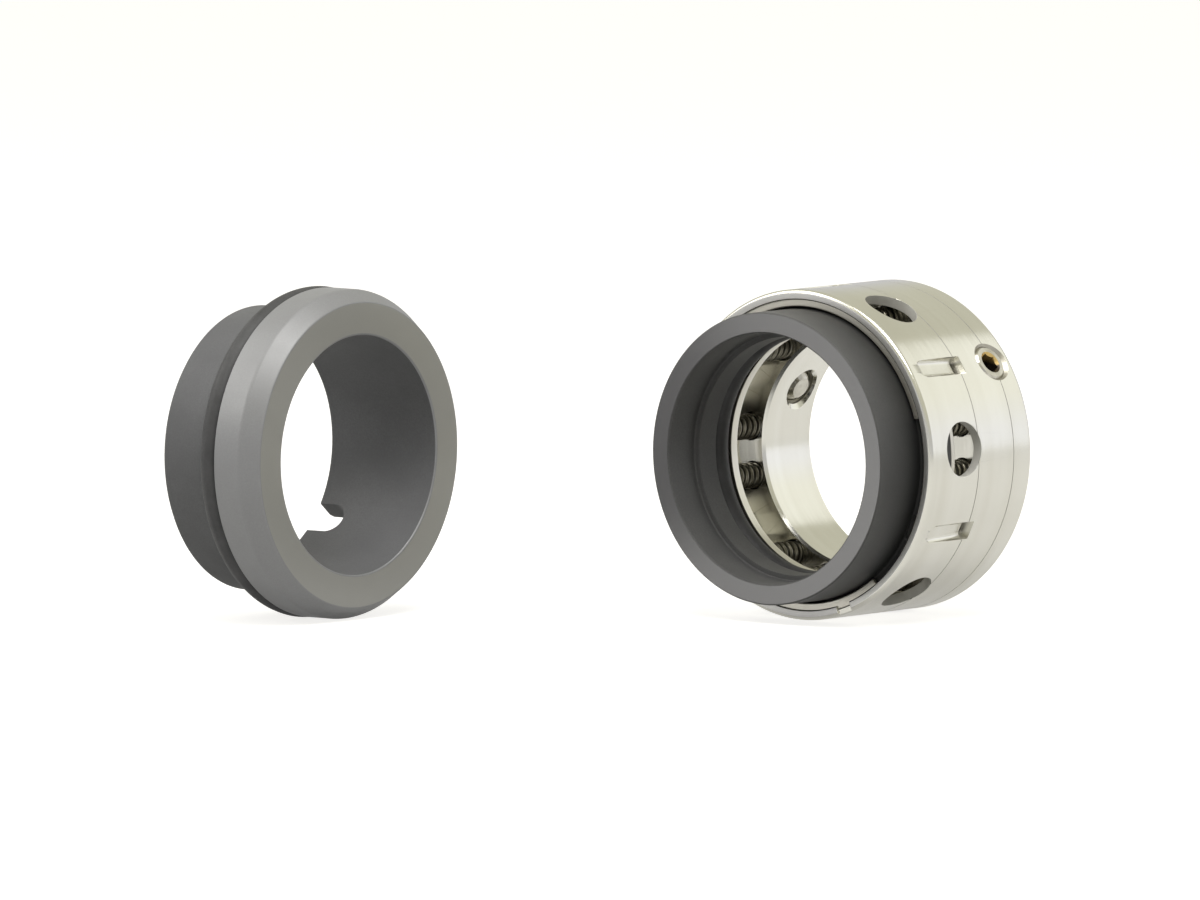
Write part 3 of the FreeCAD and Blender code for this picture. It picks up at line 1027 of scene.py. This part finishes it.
# %% Grind its ends and copy it
for height, away in ((spring_low.y, -1), (spring_high.y, 1)):
    select_whole()
    bpy.ops.mesh.bisect(plane_co=(0, height, 0), plane_no=(0, away, 0), use_fill=True,
                        clear_outer=True)
print("open edges on the spring, filled:", pick_faulty_edges(spring))
bpy.ops.mesh.fill()
select_whole()
bpy.ops.mesh.normals_make_consistent(inside=False)
close_mesh()
for number, angle in enumerate(spring_angles, start=1):
    coil = copy_at(spring, angle, f"coil_spring_{number:02d}")
    finish_piece(coil, "head", [f"spring_{number:02d}"], wire_finish, 50.0)
    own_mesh(coil)
throw_away([spring])

# %% [markdown]
# ## Set screws
#
# Each has a hexagon socket to turn it, a thread, and a cup point that bites into the shaft. It
# is turned about its own axis, the thread as sharp grooves, and the socket is then cut with a
# six-sided block whose end is drawn to a point, as a drill leaves it.

# %% Turn one screw
screw_top = shell_radius - 0.35
screw_tip = collar_bore + 0.15
screw_outer = hole_radius - 0.05
cup_depth, cup_radius, point_radius, point_length = 0.75, 1.55, 2.3, 1.25
screw_outline = [(0, screw_tip + cup_depth), (cup_radius, screw_tip),
                 (point_radius, screw_tip), (screw_outer, screw_tip + point_length)]
screw_outline += thread_corners(screw_outer, 0.42, screw_tip + point_length, screw_top - 0.5)
screw_outline += [(screw_outer, screw_top - 0.45), (screw_outer - 0.4, screw_top), (0, screw_top)]
set_screw = turned_solid("set_screw_master", screw_outline, 48)

# %% Cut its socket and copy it
socket_reach, socket_depth = 4.0 / math.sqrt(3), 4.2
drop_selection()
bpy.ops.mesh.primitive_cylinder_add(
    vertices=6, radius=socket_reach, depth=socket_depth + 1,
    location=(0, 0, screw_top + 0.5 - socket_depth / 2), rotation=(0, 0, math.radians(30)))
hexagon = bpy.context.object
bpy.ops.object.transform_apply()
open_mesh(hexagon)
pick_points(hexagon, lambda point: point.co.z < screw_top - 1)
bpy.ops.mesh.extrude_region_move(TRANSFORM_OT_translate={"value": (0, 0, -1.0)})
bpy.ops.transform.resize(value=(0.15, 0.15, 1.0),
                         center_override=(0, 0, screw_top - socket_depth - 1.0))
close_mesh()
mouth_radius = socket_reach + 0.25
drop_selection()
bpy.ops.mesh.primitive_cone_add(
    vertices=48, radius1=0, radius2=mouth_radius + 1, depth=mouth_radius + 1,
    location=(0, 0, screw_top + (1 - mouth_radius) / 2))
mouth = bpy.context.object
bpy.ops.object.transform_apply()
boolean(set_screw, [hexagon], "DIFFERENCE")
boolean(set_screw, [mouth], "DIFFERENCE")
break_sharp_edges(set_screw, 0.1, 2, 70.0)


def in_socket(face, way):
    """Is a face of a screw that stands in one direction inside its socket?"""
    height = face.center.dot(way) / MM
    off_axis = (face.center / MM - way * height).length
    return off_axis < mouth_radius - 0.05 and 0.04 < screw_top - height < socket_depth + 1.2


for number, angle in enumerate(screw_angles, start=1):
    screw = copy_at(set_screw, angle, f"socket_screw_{number}")
    finish_piece(screw, f"set_screw_{number}", [f"set_screw_{number}"], screw_steel,
                 30.0)
    finish_faces(screw, [socket_film_and_shade], lambda face: int(in_socket(face, direction_at(angle))))
throw_away([set_screw])

# %% [markdown]
# ## Seat
#
# The stationary ring is built like the head, about the same axis with its face at zero, and
# then turned to face the side and stood on the floor, where the solids are. A slot in its rear
# end takes a pin of the housing, so that the seat can't turn.

# %% Seat ring
seat_length = seat_high.x - seat_low.x
seat_flange_radius = (seat_high.z - seat_low.z) / 2
seat_bore = shaft_radius + 0.4
spigot_radius = seat_flange_radius - 4.7
flange_end, slope_reach, slope_depth = 10.6, 2.5, 3.8
seat_outline = [
    (seat_bore, 0), (seat_flange_radius - slope_reach, 0), (seat_flange_radius, slope_depth),
    (seat_flange_radius, flange_end), (spigot_radius, flange_end),
    (spigot_radius, seat_length), (seat_bore, seat_length),
]
seat_breaks = [(0, 0.45, 4), (1, 0.25, 3), (2, 0.5, 4), (3, 0.2, 2), (4, 0.6, 4),
               (5, 0.8, 1), (6, 0.2, 2)]
seat = turned_ring("seat_ceramic", seat_outline, 320, seat_breaks)

slot_width, slot_depth, slot_angle = 6.8, 7.8, 130.0
slot_end = seat_length - slot_depth + slot_width / 2
low, high = seat_bore - 3, spigot_radius + 1
slot_block = side_block("seat_slot_cutter", [(slot_end, low), (seat_length + 1, low),
                        (seat_length + 1, high), (slot_end, high)], slot_width)
slot_round = drill("seat_slot_end", slot_width / 2, (slot_end, low), (slot_end, high), 64)
boolean(slot_block, [slot_round], "UNION")
slot_cutter = copy_at(slot_block, slot_angle)
throw_away([slot_block])
boolean(seat, [slot_cutter], "DIFFERENCE")
break_sharp_edges(seat, 0.2, 3)

seat_middle = (seat_low + seat_high) / 2
seat_place = Matrix.Translation((seat_high.x, seat_middle.y, seat_middle.z))
seat_place = seat_place @ Matrix.Rotation(math.radians(90), 4, "Z")


def stand_beside(piece):
    """Turn a seat piece to face the side and stand it where its solid is."""
    piece.matrix_world = seat_place
    settle(piece)


stand_beside(seat)
finish_piece(seat, "head", ["seat_ring"], seat_side)


# %% Its lapped face, what the furnace left, and its bore's painted shade
def seat_finish(face):
    """0 ground, 1 lapped, 2 as it left the furnace, with painted shade in the bore."""
    spot = face.center / MM
    depth = seat_high.x - spot.x
    if face.normal.x > 0.99 and depth < 0.05:
        return 1
    off_axis = math.dist((spot.y, spot.z), (seat_middle.y, seat_middle.z))
    return 2 if off_axis < seat_bore + 0.05 or depth > flange_end + 0.1 else 0


finish_faces(seat, [seat_face, seat_fired_and_shaded], seat_finish)

# %% Its rubber ring
seat_rubber_low, seat_rubber_high = low_high("seat_o_ring")
seat_rubber = moulded_ring(
    "seat_rubber_ring", (seat_rubber_high.z - seat_rubber_low.z) / 2,
    seat_rubber_high.x - seat_rubber_low.x,
    seat_high.x - (seat_rubber_high.x + seat_rubber_low.x) / 2, 240)
stand_beside(seat_rubber)
finish_piece(seat_rubber, "head", ["seat_o_ring"], rubber, 60.0)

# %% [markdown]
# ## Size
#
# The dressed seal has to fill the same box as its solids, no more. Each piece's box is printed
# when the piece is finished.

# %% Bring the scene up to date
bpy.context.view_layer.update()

# %% [markdown]
# ## Stage
#
# The photograph was taken on a white table, nearly level with the parts, from far away: both
# ends of the retainer look equally large. A long lens from four metres gives the same calm
# outlines. The table glows white to the camera and fainter to the steel, and still takes a soft
# shadow. Polished steel shows only what stands round it, so the room matters as much as the
# lamps: a pale wall at eye level gives the white band along its side, and the warmer room above
# gives the beige bands. The room lights the parts less than it shows in them.

# %% Camera
camera_turn, camera_rise = math.radians(39.3), math.radians(5.2)
image_width, camera_distance = 253.2 * MM, 4.0
aim_left, aim_up = 35.02 * MM, 1.9 * MM
face_middle = Vector((0, running_face * MM, 0))
right = Vector((math.cos(camera_turn), math.sin(camera_turn), 0))
towards_camera = Vector((math.sin(camera_turn) * math.cos(camera_rise),
                         -math.cos(camera_turn) * math.cos(camera_rise),
                         math.sin(camera_rise)))
upwards = towards_camera.cross(right)
aim = face_middle - right * aim_left + upwards * aim_up

drop_selection()
bpy.ops.object.camera_add(location=aim + towards_camera * camera_distance,
                          rotation=towards_camera.to_track_quat("Z", "Y").to_euler())
camera = bpy.context.object
camera.data.lens = camera.data.sensor_width * camera_distance / image_width
camera.data.clip_end = 50
bpy.context.scene.camera = camera
bpy.context.scene.view_settings.view_transform = "Standard"
print("lens", round(camera.data.lens), "mm")

# %% Table
floor_height = retainer_low.z * MM
drop_selection()
bpy.ops.mesh.primitive_plane_add(size=14, location=(0, 0, floor_height))
table = bpy.context.object
table.name = "table"
table_paint = new_finish("table_paint", (0.45, 0.45, 0.44), 0.0, 0.85)
seen_glow, mirrored_glow = 0.82, 0.4
rays = add_node(table_paint, "LightPath").outputs
seen = calculate(table_paint, "MAXIMUM", rays["Is Camera Ray"], rays["Is Transmission Ray"])
glow = calculate(table_paint, "MULTIPLY", seen, seen_glow)
mirrored = calculate(table_paint, "MULTIPLY", rays["Is Glossy Ray"], mirrored_glow)
shader_input(table_paint, "Emission Color").default_value = (1.0, 0.99, 0.97, 1)
link(table_paint, calculate(table_paint, "MAXIMUM", glow, mirrored),
     shader_input(table_paint, "Emission Strength"))
table.data.materials.append(table_paint)

# %% Room
world = bpy.data.worlds.new("studio_room")
bpy.context.scene.world = world
world.use_nodes = True
backdrop = world.node_tree.nodes["Background"].inputs
room_rays = add_node(world, "LightPath").outputs
seen = calculate(world, "MAXIMUM", room_rays["Is Camera Ray"], room_rays["Is Glossy Ray"])
seen = calculate(world, "MAXIMUM", seen, room_rays["Is Transmission Ray"])
lit_strength, seen_strength = 0.40, 1.0
link(world, spread(world, seen, lit_strength, seen_strength, 0.0, 1.0), backdrop["Strength"])
direction = add_node(world, "TexCoord").outputs["Generated"]
walls = add_node(world, "ValToRGB")
link(world, taken_apart(world, direction)["Z"], walls.inputs["Fac"])
level_stop, high_stop = walls.color_ramp.elements
level_stop.position, level_stop.color = 0.12, (0.64, 0.64, 0.66, 1)
high_stop.position, high_stop.color = 0.38, (0.64, 0.63, 0.52, 1)
link(world, walls.outputs["Color"], backdrop["Color"])
print("room:", world.name, "with", len(world.node_tree.nodes), "nodes")


# %% Lamps
def soft_lamp(name, place, size, watts, colour):
    """A large square lamp that looks at the middle of the set."""
    drop_selection()
    bpy.ops.object.light_add(type="AREA", location=place)
    lamp = bpy.context.object
    lamp.name = name
    lamp.data.size = size
    lamp.data.energy = watts
    lamp.data.color = colour
    lamp.rotation_euler = (place - aim).to_track_quat("Z", "Y").to_euler()


soft_lamp("overhead_softbox", aim + Vector((0.3, -0.25, 0.95)), 0.7, 8.5, (1.0, 0.99, 0.98))
soft_lamp("key_softbox", aim + Vector((-0.85, -0.6, 0.85)), 1.0, 7.0, (1.0, 0.99, 0.98))
soft_lamp("back_right_softbox", aim + Vector((0.60, 0.93, 0.39)), 0.92, 1.25, (0.95, 0.97, 1.0))
